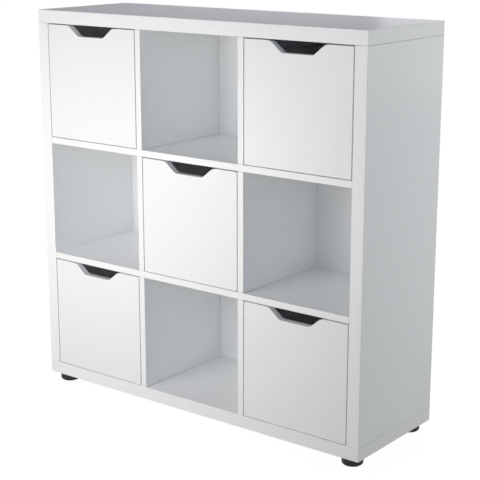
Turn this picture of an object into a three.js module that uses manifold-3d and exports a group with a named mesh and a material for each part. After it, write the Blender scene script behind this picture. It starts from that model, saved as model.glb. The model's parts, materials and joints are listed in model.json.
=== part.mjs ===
// Cube storage unit: a carcass of nine cells on four feet, with a drawer in each corner cell and in the middle one.
//
// Millimetres, +Z up. The origin is on the floor under the middle of the unit, +X is to the right as one faces it,
// and the front faces -Y. The outer boards are twice as thick as the inner ones. Two long shelves run between the
// side panels, six short partitions stand between them, and a thin back panel sits in grooves near the rear edges.
// Each drawer hangs on two strips screwed to the boards beside it, which run in grooves in its side boards.

import * as THREE from "three";
import { mergeVertices } from "three/addons/utils/BufferGeometryUtils.js";
import Module from "manifold-3d";

const wasm = await Module();
wasm.setup();

// ---------------------------------------------------------------- sizes

const UNIT_WIDTH = 915;
const UNIT_DEPTH = 300;
const CARCASS_HEIGHT = 900; // without the feet
const COLUMNS = 3;
const ROWS = 3;
const OUTER_BOARD = 30; // top, bottom and side panels
const INNER_BOARD = 15; // shelves and partitions
const HAIRLINE = 0.3; // left between two pieces that are fixed face to face

const BACK_THICKNESS = 3;
const BACK_INSET = 16; // from the rear edges to the back panel's rear face
const BACK_GROOVE_DEPTH = 8;
const BACK_EDGE_PLAY = 1; // between the back panel's edge and the floor of its groove

const FOOT_RADIUS = 24;
const FOOT_HEIGHT = 22;
const FOOT_ROUNDING = 7; // of the lower rim
const FOOT_SIDE_INSET = 34; // from the unit's side to the foot's centre
const FOOT_END_INSET = 32; // from its front or rear
const SCREW_SHANK_RADIUS = 2.2;
const SCREW_HEAD_RADIUS = 4.4;
const SCREW_HEAD_HEIGHT = 2.6;
const SCREW_BITE = 20; // length of thread in the bottom panel
const SCREW_SINK = 12; // from the foot's sole up to the screw's head
const SCREW_WELL_RADIUS = 6.5; // of the hole in the sole, through which the head goes in

const FRONT_THICKNESS = 15;
const FRONT_SIDE_GAP = 2.4; // from the drawer front to the boards around it
const FRONT_BOTTOM_GAP = 1.5;
const FRONT_TOP_GAP = 2.5;
const NOTCH_TOP_WIDTH = 137; // the finger notch, between the corners that its rounding cuts off
const NOTCH_BOTTOM_WIDTH = 78;
const NOTCH_DEPTH = 24;
const NOTCH_TOP_ROUNDING = 24;
const NOTCH_BOTTOM_ROUNDING = 15;

const BOX_BOARD = 12; // drawer sides and back
const BOX_SIDE_PLAY = 2.5; // from the drawer sides to the boards beside them
const BOX_RAISE = 6; // from the drawer front's lower edge up to the box
const BOX_LOWER_THAN_NOTCH = 10; // from the notch's floor down to the box's rim
const BOX_REAR_PLAY = 11; // behind a closed drawer
const BASE_THICKNESS = 4;
const BASE_RAISE = 10; // from the box's lower edge up to the drawer base
const BASE_GROOVE_DEPTH = 5;
const BASE_EDGE_PLAY = 0.5;

const RUNNER_HEIGHT = 16;
const RUNNER_RAISE = 92; // from the cell's floor up to the runner
const RUNNER_FREE_PLAY = 0.5; // between the runner and the bottom of its groove
const RUNNER_TOP_PLAY = 0.3; // the drawer rides on the runner's upper face
const RUNNER_LOWER_PLAY = 0.9;
const RUNNER_SETBACK = 4; // from the rear of the drawer front to the runner
const RUNNER_REAR_GAP = 10; // shorter than the drawer sides at the rear
const RUNNER_GROOVE_DEPTH = 6.5;

const ARC_STEPS = 6; // straight steps in each rounded corner
const ROUND_STEPS = 32; // sides of a turned piece

// ---------------------------------------------------------------- places that follow from the sizes

const FRONT_Y = -UNIT_DEPTH / 2;
const REAR_Y = UNIT_DEPTH / 2;
const BACK_REAR_Y = REAR_Y - BACK_INSET;
const BACK_FRONT_Y = BACK_REAR_Y - BACK_THICKNESS;
const CELL_REAR_Y = BACK_FRONT_Y - HAIRLINE;

const INNER_WIDTH = UNIT_WIDTH - 2 * OUTER_BOARD;
const INNER_HEIGHT = CARCASS_HEIGHT - 2 * OUTER_BOARD;
const INNER_LEFT_X = -INNER_WIDTH / 2;
const INNER_FLOOR_Z = FOOT_HEIGHT + OUTER_BOARD;
const CARCASS_TOP_Z = FOOT_HEIGHT + CARCASS_HEIGHT;
const CELL_WIDTH = (INNER_WIDTH - (COLUMNS - 1) * INNER_BOARD) / COLUMNS;
const CELL_HEIGHT = (INNER_HEIGHT - (ROWS - 1) * INNER_BOARD) / ROWS;

const cellCentreX = (column) => INNER_LEFT_X + CELL_WIDTH / 2 + column * (CELL_WIDTH + INNER_BOARD);
const cellFloorZ = (row) => INNER_FLOOR_Z + row * (CELL_HEIGHT + INNER_BOARD);

// ---------------------------------------------------------------- materials

const finish = (color, roughness, metalness = 0) => new THREE.MeshStandardMaterial({ color, roughness, metalness });
const MATERIALS = {
  whiteBoard: finish(0xf2f2f1, 0.38),
  backBoard: finish(0xe6e6e4, 0.6),
  drawerBoard: finish(0xeeeeec, 0.42),
  runnerPlastic: finish(0xd9dad8, 0.5),
  footPlastic: finish(0x24262a, 0.55),
  screwSteel: finish(0xb4b5b8, 0.35, 0.9),
};

// ---------------------------------------------------------------- solids

/** A three.js geometry as a manifold-3d solid. */
function solidOf(geometry) {
  const bare = geometry.clone();
  bare.deleteAttribute("normal");
  bare.deleteAttribute("uv");
  const merged = mergeVertices(bare, 1e-4);
  const vertProperties = merged.getAttribute("position").array;
  const triVerts = new Uint32Array(merged.index.array);
  return new wasm.Manifold(new wasm.Mesh({ numProp: 3, vertProperties, triVerts }));
}

/** A manifold-3d solid as a three.js geometry. */
function geometryOf(solid) {
  const mesh = solid.getMesh();
  const geometry = new THREE.BufferGeometry();
  geometry.setAttribute("position", new THREE.BufferAttribute(mesh.vertProperties, 3));
  geometry.setIndex(new THREE.BufferAttribute(mesh.triVerts, 1));
  return geometry;
}

/** A box between two corners. */
function boxBetween([x0, y0, z0], [x1, y1, z1]) {
  const box = new THREE.BoxGeometry(x1 - x0, y1 - y0, z1 - z0);
  return box.translate((x0 + x1) / 2, (y0 + y1) / 2, (z0 + z1) / 2);
}

/** A geometry with other geometries taken out of it. */
function cut(geometry, cuts) {
  const left = cuts.reduce((solid, tool) => solid.subtract(solidOf(tool)), solidOf(geometry));
  return geometryOf(left);
}

/** An upright cylinder, its lower end at z. */
function rod(radius, x, y, z, height) {
  const cylinder = new THREE.CylinderGeometry(radius, radius, height, ROUND_STEPS / 2);
  return cylinder.rotateX(Math.PI / 2).translate(x, y, z + height / 2);
}

/** A named mesh in a group. */
function add(group, name, geometry, material) {
  const mesh = new THREE.Mesh(geometry, material);
  mesh.name = name;
  group.add(mesh);
  return mesh;
}

/** A closed outline through corners [x, y, rounding], each rounded by an arc of that radius where it isn't 0. */
function roundedOutline(corners) {
  const shape = new THREE.Shape();
  corners.forEach(([x, y, radius], i) => {
    const corner = new THREE.Vector2(x, y);
    const before = corners.at(i - 1);
    const after = corners[(i + 1) % corners.length];
    const back = new THREE.Vector2(before[0], before[1]).sub(corner).normalize();
    const ahead = new THREE.Vector2(after[0], after[1]).sub(corner).normalize();
    const half = Math.acos(back.dot(ahead)) / 2;
    const start = corner.clone().addScaledVector(back, radius / Math.tan(half));
    if (i === 0) shape.moveTo(start.x, start.y);
    else shape.lineTo(start.x, start.y);
    if (radius === 0) return;
    const centre = corner.clone().addScaledVector(back.clone().add(ahead).normalize(), radius / Math.sin(half));
    const end = corner.clone().addScaledVector(ahead, radius / Math.tan(half));
    const from = Math.atan2(start.y - centre.y, start.x - centre.x);
    const to = Math.atan2(end.y - centre.y, end.x - centre.x);
    shape.absarc(centre.x, centre.y, radius, from, to, back.cross(ahead) > 0);
  });
  shape.closePath();
  return shape;
}

// ---------------------------------------------------------------- carcass

/** The slab that the back panel's grooves are cut with: it reaches into all four outer panels. */
function backGroove() {
  const x = INNER_WIDTH / 2 + BACK_GROOVE_DEPTH;
  const low = [-x, BACK_FRONT_Y - HAIRLINE, INNER_FLOOR_Z - BACK_GROOVE_DEPTH];
  const high = [x, BACK_REAR_Y + HAIRLINE, INNER_FLOOR_Z + INNER_HEIGHT + BACK_GROOVE_DEPTH];
  return boxBetween(low, high);
}

function addOuterPanels(group) {
  const x = UNIT_WIDTH / 2;
  const innerX = INNER_WIDTH / 2;
  const floor = INNER_FLOOR_Z;
  const ceiling = floor + INNER_HEIGHT;
  const groove = backGroove();
  const screwHoles = footPlaces().map(([, px, py]) => {
    const length = SCREW_BITE + SCREW_HEAD_HEIGHT;
    return rod(SCREW_SHANK_RADIUS + HAIRLINE, px, py, FOOT_HEIGHT - SCREW_HEAD_HEIGHT, length);
  });
  const top = boxBetween([-x, FRONT_Y, ceiling], [x, REAR_Y, CARCASS_TOP_Z]);
  const bottom = boxBetween([-x, FRONT_Y, FOOT_HEIGHT], [x, REAR_Y, floor]);
  const left = boxBetween([-x, FRONT_Y, floor + HAIRLINE], [-innerX, REAR_Y, ceiling - HAIRLINE]);
  const right = boxBetween([innerX, FRONT_Y, floor + HAIRLINE], [x, REAR_Y, ceiling - HAIRLINE]);
  add(group, "top_panel", cut(top, [groove]), MATERIALS.whiteBoard);
  add(group, "bottom_panel", cut(bottom, [groove, ...screwHoles]), MATERIALS.whiteBoard);
  add(group, "left_side_panel", cut(left, [groove]), MATERIALS.whiteBoard);
  add(group, "right_side_panel", cut(right, [groove]), MATERIALS.whiteBoard);
}

function addShelves(group) {
  const x = INNER_WIDTH / 2 - HAIRLINE;
  ["lower_shelf", "upper_shelf"].forEach((name, i) => {
    const z = cellFloorZ(i + 1) - INNER_BOARD;
    add(group, name, boxBetween([-x, FRONT_Y, z], [x, CELL_REAR_Y, z + INNER_BOARD]), MATERIALS.whiteBoard);
  });
}

function addPartitions(group) {
  ["bottom", "middle", "top"].forEach((rowName, row) => {
    ["left", "right"].forEach((sideName, i) => {
      const x = cellCentreX(i) + CELL_WIDTH / 2;
      const z = cellFloorZ(row);
      const low = [x, FRONT_Y, z + HAIRLINE];
      const high = [x + INNER_BOARD, CELL_REAR_Y, z + CELL_HEIGHT - HAIRLINE];
      add(group, `${rowName}_${sideName}_partition`, boxBetween(low, high), MATERIALS.whiteBoard);
    });
  });
}

function addBackPanel(group) {
  const reach = BACK_GROOVE_DEPTH - BACK_EDGE_PLAY;
  const x = INNER_WIDTH / 2 + reach;
  const low = [-x, BACK_FRONT_Y, INNER_FLOOR_Z - reach];
  const high = [x, BACK_REAR_Y, INNER_FLOOR_Z + INNER_HEIGHT + reach];
  add(group, "back_panel", boxBetween(low, high), MATERIALS.backBoard);
}

// ---------------------------------------------------------------- feet

/** Each foot's name and centre. */
function footPlaces() {
  const x = UNIT_WIDTH / 2 - FOOT_SIDE_INSET;
  const y = UNIT_DEPTH / 2 - FOOT_END_INSET;
  return [
    ["front_left", -x, -y],
    ["front_right", x, -y],
    ["rear_left", -x, y],
    ["rear_right", x, y],
  ];
}

/** A turned foot with a rounded lower rim, a well in its sole and a hole for its screw. */
function footGeometry() {
  const holeRadius = SCREW_SHANK_RADIUS + HAIRLINE;
  const ceiling = FOOT_HEIGHT - HAIRLINE;
  const outline = new THREE.Path();
  outline.moveTo(SCREW_WELL_RADIUS, 0);
  outline.lineTo(FOOT_RADIUS - FOOT_ROUNDING, 0);
  outline.absarc(FOOT_RADIUS - FOOT_ROUNDING, FOOT_ROUNDING, FOOT_ROUNDING, -Math.PI / 2, 0);
  outline.lineTo(FOOT_RADIUS, ceiling);
  outline.lineTo(holeRadius, ceiling);
  outline.lineTo(holeRadius, SCREW_SINK + SCREW_HEAD_HEIGHT + HAIRLINE);
  outline.lineTo(SCREW_WELL_RADIUS, SCREW_SINK + SCREW_HEAD_HEIGHT + HAIRLINE);
  outline.lineTo(SCREW_WELL_RADIUS, 0);
  return new THREE.LatheGeometry(outline.getPoints(ARC_STEPS), ROUND_STEPS).rotateX(Math.PI / 2);
}

/** A pan-headed screw, its head at the bottom. */
function footScrewGeometry() {
  const headTop = SCREW_SINK + SCREW_HEAD_HEIGHT;
  const tip = FOOT_HEIGHT + SCREW_BITE - HAIRLINE;
  const profile = [
    [0, SCREW_SINK],
    [SCREW_HEAD_RADIUS * 0.8, SCREW_SINK],
    [SCREW_HEAD_RADIUS, SCREW_SINK + SCREW_HEAD_HEIGHT * 0.5],
    [SCREW_HEAD_RADIUS, headTop],
    [SCREW_SHANK_RADIUS, headTop],
    [SCREW_SHANK_RADIUS, tip - 2 * SCREW_SHANK_RADIUS],
    [0, tip - HAIRLINE],
  ];
  const points = profile.map(([r, z]) => new THREE.Vector2(r, z));
  return new THREE.LatheGeometry(points, ROUND_STEPS / 2).rotateX(Math.PI / 2);
}

function addFeet(group) {
  for (const [name, x, y] of footPlaces()) {
    const foot = new THREE.Group();
    foot.position.set(x, y, 0);
    group.add(foot);
    add(foot, `foot_${name}`, footGeometry(), MATERIALS.footPlastic);
    add(foot, `foot_screw_${name}`, footScrewGeometry(), MATERIALS.screwSteel);
  }
}

// ---------------------------------------------------------------- drawers and their runners
// A drawer's own frame has its origin at the middle of its cell's floor line, at the unit's front.

const FRONT_WIDTH = CELL_WIDTH - 2 * FRONT_SIDE_GAP;
const FRONT_HEIGHT = CELL_HEIGHT - FRONT_BOTTOM_GAP - FRONT_TOP_GAP;
const FRONT_TOP_Z = FRONT_BOTTOM_GAP + FRONT_HEIGHT;
const BOX_OUTER_X = CELL_WIDTH / 2 - BOX_SIDE_PLAY;
const BOX_INNER_X = BOX_OUTER_X - BOX_BOARD;
const BOX_FRONT_Y = FRONT_THICKNESS + HAIRLINE;
const BOX_REAR_Y = CELL_REAR_Y - FRONT_Y - BOX_REAR_PLAY;
const BOX_LOW_Z = FRONT_BOTTOM_GAP + BOX_RAISE;
const BOX_RIM_Z = FRONT_TOP_Z - NOTCH_DEPTH - BOX_LOWER_THAN_NOTCH;
const BASE_LOW_Z = BOX_LOW_Z + BASE_RAISE;
const RUNNER_FRONT_Y = FRONT_THICKNESS + RUNNER_SETBACK;
const RUNNER_REAR_Y = BOX_REAR_Y - RUNNER_REAR_GAP;
const RUNNER_OUTER_X = CELL_WIDTH / 2 - HAIRLINE;
const RUNNER_INNER_X = BOX_OUTER_X - RUNNER_GROOVE_DEPTH + RUNNER_FREE_PLAY;

/** The groove round the box's inside that holds the drawer base. */
function baseGroove() {
  const x = BOX_INNER_X + BASE_GROOVE_DEPTH;
  const y0 = FRONT_THICKNESS - BASE_GROOVE_DEPTH;
  const y1 = BOX_REAR_Y - BOX_BOARD + BASE_GROOVE_DEPTH;
  return boxBetween([-x, y0, BASE_LOW_Z - HAIRLINE], [x, y1, BASE_LOW_Z + BASE_THICKNESS + HAIRLINE]);
}

/** The drawer front: a rectangle with a finger notch in the middle of its upper edge. */
function drawerFrontGeometry() {
  const x = FRONT_WIDTH / 2;
  const notchTop = NOTCH_TOP_WIDTH / 2;
  const notchBottom = NOTCH_BOTTOM_WIDTH / 2;
  const floor = FRONT_TOP_Z - NOTCH_DEPTH;
  const outline = roundedOutline([
    [-x, FRONT_BOTTOM_GAP, 0],
    [x, FRONT_BOTTOM_GAP, 0],
    [x, FRONT_TOP_Z, 0],
    [notchTop, FRONT_TOP_Z, NOTCH_TOP_ROUNDING],
    [notchBottom, floor, NOTCH_BOTTOM_ROUNDING],
    [-notchBottom, floor, NOTCH_BOTTOM_ROUNDING],
    [-notchTop, FRONT_TOP_Z, NOTCH_TOP_ROUNDING],
    [-x, FRONT_TOP_Z, 0],
  ]);
  const board = new THREE.ExtrudeGeometry(outline, {
    depth: FRONT_THICKNESS,
    bevelEnabled: false,
    curveSegments: ARC_STEPS,
  });
  return cut(board.rotateX(Math.PI / 2).translate(0, FRONT_THICKNESS, 0), [baseGroove()]);
}

/** One drawer side, on the left where side is -1 and on the right where it is 1, grooved for its runner. */
function drawerSideGeometry(side) {
  const low = [BOX_INNER_X, BOX_FRONT_Y, BOX_LOW_Z];
  const high = [BOX_OUTER_X, BOX_REAR_Y, BOX_RIM_Z];
  const runnerGroove = boxBetween(
    [BOX_OUTER_X - RUNNER_GROOVE_DEPTH, RUNNER_FRONT_Y - HAIRLINE, RUNNER_RAISE - RUNNER_LOWER_PLAY],
    [BOX_OUTER_X + BOX_SIDE_PLAY, BOX_REAR_Y + BOX_REAR_PLAY, RUNNER_RAISE + RUNNER_HEIGHT + RUNNER_TOP_PLAY],
  );
  const board = cut(boxBetween(low, high), [baseGroove(), runnerGroove]);
  if (side > 0) return board;
  const turned = solidOf(board).mirror([1, 0, 0]);
  return geometryOf(turned);
}

function drawerBackGeometry() {
  const x = BOX_INNER_X - HAIRLINE;
  const board = boxBetween([-x, BOX_REAR_Y - BOX_BOARD, BOX_LOW_Z], [x, BOX_REAR_Y, BOX_RIM_Z]);
  return cut(board, [baseGroove()]);
}

function drawerBaseGeometry() {
  const reach = BASE_GROOVE_DEPTH - BASE_EDGE_PLAY;
  const x = BOX_INNER_X + reach;
  const y0 = FRONT_THICKNESS - reach;
  const y1 = BOX_REAR_Y - BOX_BOARD + reach;
  return boxBetween([-x, y0, BASE_LOW_Z], [x, y1, BASE_LOW_Z + BASE_THICKNESS]);
}

/** A runner: a flat strip on the board beside the drawer. */
function runnerGeometry(side) {
  const low = [RUNNER_INNER_X, RUNNER_FRONT_Y, RUNNER_RAISE];
  const high = [RUNNER_OUTER_X, RUNNER_REAR_Y, RUNNER_RAISE + RUNNER_HEIGHT];
  const strip = boxBetween(low, high);
  return side > 0 ? strip : strip.translate(-RUNNER_INNER_X - RUNNER_OUTER_X, 0, 0);
}

function addDrawer(group, name, column, row) {
  const drawer = new THREE.Group();
  drawer.position.set(cellCentreX(column), FRONT_Y, cellFloorZ(row));
  group.add(drawer);
  add(drawer, `${name}_drawer_front`, drawerFrontGeometry(), MATERIALS.whiteBoard);
  add(drawer, `${name}_drawer_left_side`, drawerSideGeometry(-1), MATERIALS.drawerBoard);
  add(drawer, `${name}_drawer_right_side`, drawerSideGeometry(1), MATERIALS.drawerBoard);
  add(drawer, `${name}_drawer_back`, drawerBackGeometry(), MATERIALS.drawerBoard);
  add(drawer, `${name}_drawer_base`, drawerBaseGeometry(), MATERIALS.backBoard);
  add(drawer, `${name}_left_runner`, runnerGeometry(-1), MATERIALS.runnerPlastic);
  add(drawer, `${name}_right_runner`, runnerGeometry(1), MATERIALS.runnerPlastic);
}

// ---------------------------------------------------------------- the unit

const unit = new THREE.Group();
addOuterPanels(unit);
addShelves(unit);
addPartitions(unit);
addBackPanel(unit);
addFeet(unit);
addDrawer(unit, "top_left", 0, ROWS - 1);
addDrawer(unit, "top_right", COLUMNS - 1, ROWS - 1);
addDrawer(unit, "middle", 1, 1);
addDrawer(unit, "bottom_left", 0, 0);
addDrawer(unit, "bottom_right", COLUMNS - 1, 0);

export default unit;
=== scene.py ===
"""The finished look of the cube storage unit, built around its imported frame.

Every length is in metres and every place is in the unit's own frame: the origin is on the floor under
its middle, +X is to the right as one faces it, the front faces -Y and +Z is up. Boards take their sizes
from the frame. What the frame doesn't hold, such as eased edges, screw holes and fittings, is a field
of the class that makes it.
"""

import enum
import json
import logging
import math
from collections.abc import Callable, Iterable, Sequence
from dataclasses import dataclass, field, replace

import bmesh
import bpy
from mathutils import Matrix, Vector

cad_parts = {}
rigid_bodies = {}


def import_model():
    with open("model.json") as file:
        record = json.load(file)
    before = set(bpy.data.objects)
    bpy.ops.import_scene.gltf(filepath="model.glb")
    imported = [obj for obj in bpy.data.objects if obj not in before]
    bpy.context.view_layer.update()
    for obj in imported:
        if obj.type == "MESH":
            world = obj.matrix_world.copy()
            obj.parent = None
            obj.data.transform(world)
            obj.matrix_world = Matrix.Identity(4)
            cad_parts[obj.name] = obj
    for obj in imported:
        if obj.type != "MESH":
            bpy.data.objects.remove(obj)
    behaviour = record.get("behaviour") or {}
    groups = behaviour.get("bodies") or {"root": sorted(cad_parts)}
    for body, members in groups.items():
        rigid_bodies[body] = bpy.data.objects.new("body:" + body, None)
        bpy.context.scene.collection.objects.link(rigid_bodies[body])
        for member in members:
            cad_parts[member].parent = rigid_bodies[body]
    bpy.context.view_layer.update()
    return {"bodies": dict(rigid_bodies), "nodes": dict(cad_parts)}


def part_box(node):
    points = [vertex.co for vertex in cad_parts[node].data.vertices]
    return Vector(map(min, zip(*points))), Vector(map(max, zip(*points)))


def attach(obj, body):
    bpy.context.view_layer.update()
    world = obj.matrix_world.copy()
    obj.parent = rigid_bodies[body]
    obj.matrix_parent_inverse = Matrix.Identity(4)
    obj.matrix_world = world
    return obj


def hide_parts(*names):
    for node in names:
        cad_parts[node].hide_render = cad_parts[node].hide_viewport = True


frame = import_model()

LOG = logging.getLogger("cube_unit")
MM = 0.001
CARCASS = "carcass"
MOULDED_SHARP = math.radians(35.0)  # a turned or moulded piece stays sharp where it bends by more
ROUND_PROFILE = 0.5  # the bevel tool's value for a circular section
CONE_SIDES = 32

Colour = tuple[float, float, float]
Point = tuple[float, float, float]


# ---------------------------------------------------------------- node trees


class Sketch:
    """A node tree being drawn, for a material, a shader group, geometry nodes or the world."""

    def __init__(self, tree: bpy.types.NodeTree) -> None:
        """Keeps the tree that nodes are added to."""
        self.tree = tree

    def add(self, kind: str, inputs: dict | None = None, **settings: object) -> bpy.types.Node:
        """Adds a node.

        Args:
            kind: Blender's name for the node's type.
            inputs: By socket name or number, the value to set or the output socket to link.
            settings: The node's own properties.

        Returns:
            The new node.
        """
        node = self.tree.nodes.new(kind)
        for key, value in settings.items():
            setattr(node, key, value)
        for key, value in (inputs or {}).items():
            self.feed(node.inputs[key], value)
        return node

    def feed(self, socket: bpy.types.NodeSocket, value: object) -> None:
        """Links one output to a socket, or several where it takes several, or sets its plain value."""
        sources = value if isinstance(value, list) else [value]
        if not isinstance(sources[0], bpy.types.NodeSocket):
            socket.default_value = value
            return
        for source in sources:
            self.tree.links.new(source, socket)

    def math(self, operation: str, *values: object) -> bpy.types.NodeSocket:
        """Adds a Math node over one or two values or sockets, and returns its output."""
        node = self.add("ShaderNodeMath", dict(enumerate(values)), operation=operation)
        return node.outputs[0]

    def blend(self, share: object, low: object, high: object) -> bpy.types.NodeSocket:
        """Mixes two colours by a share from 0 to 1, and returns the mixed colour.

        The Mix node's colour sockets are found by number, because its kinds of data share their names.
        """
        node = self.add("ShaderNodeMix", data_type="RGBA")
        for number, value in ((0, share), (6, low), (7, high)):
            plain = isinstance(value, tuple) and len(value) == 3
            self.feed(node.inputs[number], (*value, 1.0) if plain else value)
        return node.outputs[2]

    def ramp(
        self, value: object, low: float, high: float, to_low: object, to_high: object
    ) -> bpy.types.NodeSocket:
        """Maps a value from one range to another, held at its ends, and returns it."""
        inputs = {0: value, 1: low, 2: high, 3: to_low, 4: to_high}
        return self.add("ShaderNodeMapRange", inputs).outputs[0]


class GroupKind(enum.Enum):
    """The sorts of node group, by Blender's name for each."""

    SHADER = "ShaderNodeTree"
    GEOMETRY = "GeometryNodeTree"


def new_group(
    name: str,
    kind: GroupKind,
    inputs: dict[str, tuple[str, object]],
    outputs: dict[str, str],
) -> tuple[Sketch, dict[str, bpy.types.NodeSocket], bpy.types.Node]:
    """Starts a node group with named inputs and outputs.

    Args:
        name: The group's name.
        kind: Whether it is a shader group or a geometry nodes tree.
        inputs: Each input's socket type and default value, or None for no default.
        outputs: Each output's socket type.

    Returns:
        The sketch to draw in, the inputs' sockets by name, and the node that takes the outputs.
    """
    tree = bpy.data.node_groups.new(name, kind.value)
    for label, (socket_type, default) in inputs.items():
        socket = tree.interface.new_socket(label, in_out="INPUT", socket_type=socket_type)
        if default is not None:
            socket.default_value = default
    for label, socket_type in outputs.items():
        tree.interface.new_socket(label, in_out="OUTPUT", socket_type=socket_type)
    sketch = Sketch(tree)
    start = sketch.add("NodeGroupInput")
    end = sketch.add("NodeGroupOutput")
    return sketch, {label: start.outputs[label] for label in inputs}, end


class SurfaceEffects:
    """The shader groups that several finishes share, each built once.

    The ramps give the range that a value comes in and the range that it is spread over.
    """

    FLOAT = "NodeSocketFloat"
    FINE_SHARE = 0.35
    EDGE_PATCHES = (0.35, 0.65, 0.35, 1.0)
    DUST_PATCHES = (0.3, 0.75, 0.2, 1.0)
    LOOKS_UP = (0.5, 1.0, 0.0, 1.0)
    FIBRE_TONES = (0.45, 0.75, 0.82, 1.08)

    def __init__(self) -> None:
        """Builds the groups."""
        self.fine_grain = self._fine_grain()
        self.edge_shade_and_wear = self._edge_shade_and_wear()
        self.settled_dust = self._settled_dust()
        self.fibres = self._fibres()
        self.wood_emboss = self._wood_emboss()

    def place(self, sketch: Sketch, group: bpy.types.NodeTree, inputs: dict) -> bpy.types.Node:
        """Places a group in a material with its own values, and returns its node."""
        node = sketch.add("ShaderNodeGroup", node_tree=group)
        for label, value in inputs.items():
            sketch.feed(node.inputs[label], value)
        return node

    def _noise(self, sketch: Sketch, size: object, detail: float) -> bpy.types.NodeSocket:
        """A noise over the piece's own space, its lumps about a size, and returned as a share."""
        place = sketch.add("ShaderNodeTexCoord").outputs["Object"]
        scale = sketch.math("DIVIDE", 1.0, size)
        noise = sketch.add("ShaderNodeTexNoise", {"Vector": place, "Scale": scale, "Detail": detail})
        return noise.outputs["Fac"]

    def _fine_grain(self) -> bpy.types.NodeTree:
        """The faint relief of a pressed or moulded surface, and the drift of its tone and roughness."""
        labels = ("Grain Size", "Drift Size", "Tone Spread", "Roughness", "Roughness Spread")
        inputs = {label: (self.FLOAT, None) for label in labels}
        outputs = {"Tone": self.FLOAT, "Roughness": self.FLOAT, "Height": self.FLOAT}
        sketch, given, end = new_group("fine_grain", GroupKind.SHADER, inputs, outputs)
        fine = self._noise(sketch, given["Grain Size"], detail=2.0)
        drift = self._noise(sketch, given["Drift Size"], detail=3.0)
        fine_part = sketch.math("MULTIPLY", fine, self.FINE_SHARE)
        drift_part = sketch.math("MULTIPLY", drift, 1.0 - self.FINE_SHARE)
        both = sketch.math("ADD", fine_part, drift_part)
        centred = sketch.math("SUBTRACT", both, 0.5)
        tone = sketch.math("ADD", 1.0, sketch.math("MULTIPLY", centred, given["Tone Spread"]))
        swing = sketch.math("MULTIPLY", centred, given["Roughness Spread"])
        sketch.feed(end.inputs["Tone"], tone)
        sketch.feed(end.inputs["Roughness"], sketch.math("ADD", given["Roughness"], swing))
        sketch.feed(end.inputs["Height"], fine)
        return sketch.tree

    def _edge_shade_and_wear(self) -> bpy.types.NodeTree:
        """Painted shade and wear on the eased edges: the edge mask, broken up along its length."""
        inputs = {
            "Edge": (self.FLOAT, 0.0),
            "Patch Size": (self.FLOAT, 15 * MM),
            "Amount": (self.FLOAT, 0.5),
        }
        # the mask darkens eased edges with painted shade, which deepens the gap lines round the fronts, and
        # with a little wear
        sketch, given, end = new_group("edge_shade_and_wear", GroupKind.SHADER, inputs, {"Mask": self.FLOAT})
        patches = self._noise(sketch, given["Patch Size"], detail=4.0)
        broken = sketch.ramp(patches, *self.EDGE_PATCHES)
        mask = sketch.math("MULTIPLY", sketch.math("MULTIPLY", given["Edge"], broken), given["Amount"])
        sketch.feed(end.inputs["Mask"], mask)
        return sketch.tree

    def _settled_dust(self) -> bpy.types.NodeTree:
        """Fine dust that lies on faces that look up, thicker in patches."""
        inputs = {"Patch Size": (self.FLOAT, 60 * MM), "Amount": (self.FLOAT, 0.1)}
        sketch, given, end = new_group("settled_dust", GroupKind.SHADER, inputs, {"Mask": self.FLOAT})
        normal = sketch.add("ShaderNodeNewGeometry").outputs["Normal"]
        up = sketch.add("ShaderNodeSeparateXYZ", {0: normal}).outputs["Z"]
        patches = self._noise(sketch, given["Patch Size"], detail=5.0)
        facing = sketch.ramp(up, *self.LOOKS_UP)
        share = sketch.math("MULTIPLY", facing, sketch.ramp(patches, *self.DUST_PATCHES))
        sketch.feed(end.inputs["Mask"], sketch.math("MULTIPLY", share, given["Amount"]))
        return sketch.tree

    def _fibres(self) -> bpy.types.NodeTree:
        """Short pressed fibres lying every way: two stretched noises, one across the other."""
        inputs = {"Fibre Width": (self.FLOAT, 0.5 * MM), "Stretch": (self.FLOAT, 8.0)}
        outputs = {"Tone": self.FLOAT, "Height": self.FLOAT}
        sketch, given, end = new_group("fibres", GroupKind.SHADER, inputs, outputs)
        place = sketch.add("ShaderNodeTexCoord").outputs["Object"]
        scale = sketch.math("DIVIDE", 1.0, given["Fibre Width"])
        long_scale = sketch.math("DIVIDE", scale, given["Stretch"])
        layers = []
        for along_x, along_z in ((scale, long_scale), (long_scale, scale)):
            stretch = sketch.add("ShaderNodeCombineXYZ", {0: along_x, 1: scale, 2: along_z}).outputs[0]
            spread = sketch.add("ShaderNodeVectorMath", {0: place, 1: stretch}, operation="MULTIPLY")
            noise = sketch.add("ShaderNodeTexNoise", {"Vector": spread.outputs[0], "Scale": 1.0})
            layers.append(noise.outputs["Fac"])
        woven = sketch.math("MAXIMUM", *layers)
        sketch.feed(end.inputs["Tone"], sketch.ramp(woven, *self.FIBRE_TONES))
        sketch.feed(end.inputs["Height"], woven)
        return sketch.tree

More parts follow.
